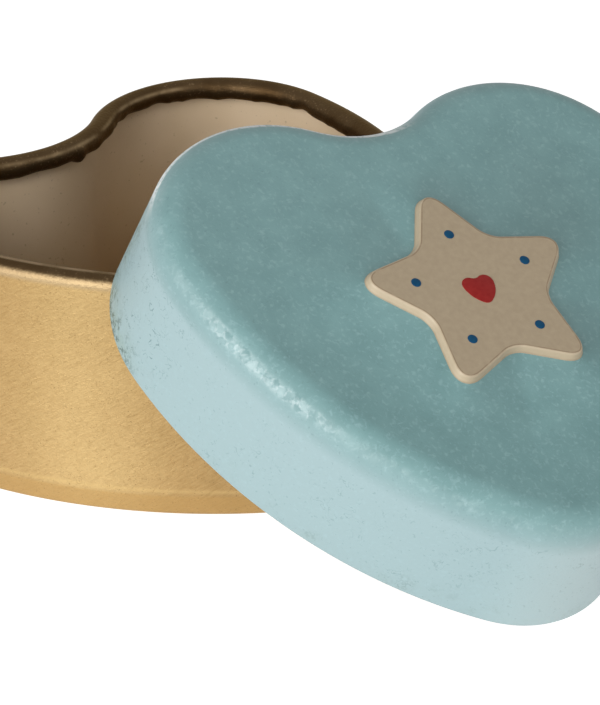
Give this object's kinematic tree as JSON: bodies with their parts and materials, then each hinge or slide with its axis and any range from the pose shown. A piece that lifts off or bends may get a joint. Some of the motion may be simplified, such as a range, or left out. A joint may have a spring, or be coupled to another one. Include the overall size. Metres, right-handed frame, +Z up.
{
  "type": "heart-shaped keepsake tin",
  "caption": "Small heart-shaped tinplate keepsake tin: an open base with an inward curled rim, and a lift-off lid with a raised star leaning on it.",
  "frame": {"origin": "flat underside of the base, on the line through the centres of its two lobes", "axes": "+Z up, +Y towards the cleft of the base's heart, -Y towards its tip, where the lid leans"},
  "size_m": [0.0487, 0.0715, 0.0337],
  "materials": {
    "gold_lacquered_tinplate": "satin",
    "blue_enamelled_tinplate": "satin",
    "ivory_enamel": "satin",
    "blue_ink": "satin",
    "red_ink": "satin"
  },
  "bodies": {
    "base": {"base": "gold_lacquered_tinplate"},
    "lid": {"lid": "blue_enamelled_tinplate"}
  },
  "joints": [
    {"name": "lid_lift", "type": "slide", "parent": "base", "child": "lid", "axis": [0, 0, 1], "range_m": [0, 0.05]}
  ]
}
